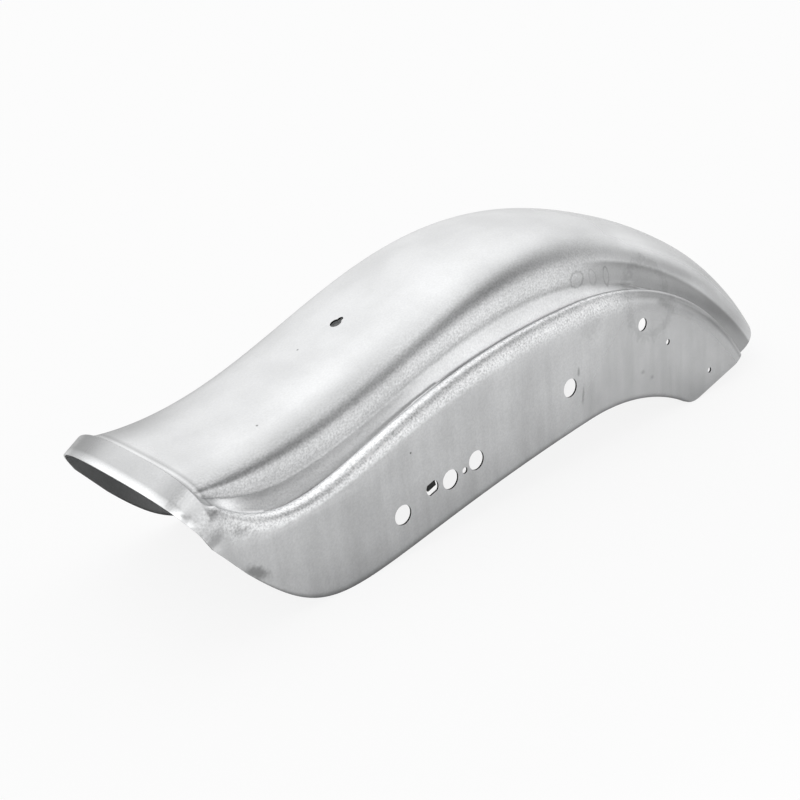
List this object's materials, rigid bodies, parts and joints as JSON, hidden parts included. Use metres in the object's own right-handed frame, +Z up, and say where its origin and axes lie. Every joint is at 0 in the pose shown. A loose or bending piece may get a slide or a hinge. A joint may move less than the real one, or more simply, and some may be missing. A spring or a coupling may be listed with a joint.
{
  "type": "motorcycle rear fender",
  "caption": "Bobtail motorcycle rear fender in bare pressed steel with a raised rolled edge, a kicked-up tail lip and strut bolt holes.",
  "frame": {"origin": "on the floor under the middle of the overall length and width", "axes": "+X towards the front end, +Z up, Y across the fender, as it lies on a flat floor"},
  "size_m": [0.7114, 0.1986, 0.2047],
  "materials": {
    "bare_steel": "satin, blasted and brushed bare steel"
  },
  "bodies": {
    "root": {"fender": "bare_steel"}
  },
  "joints": []
}
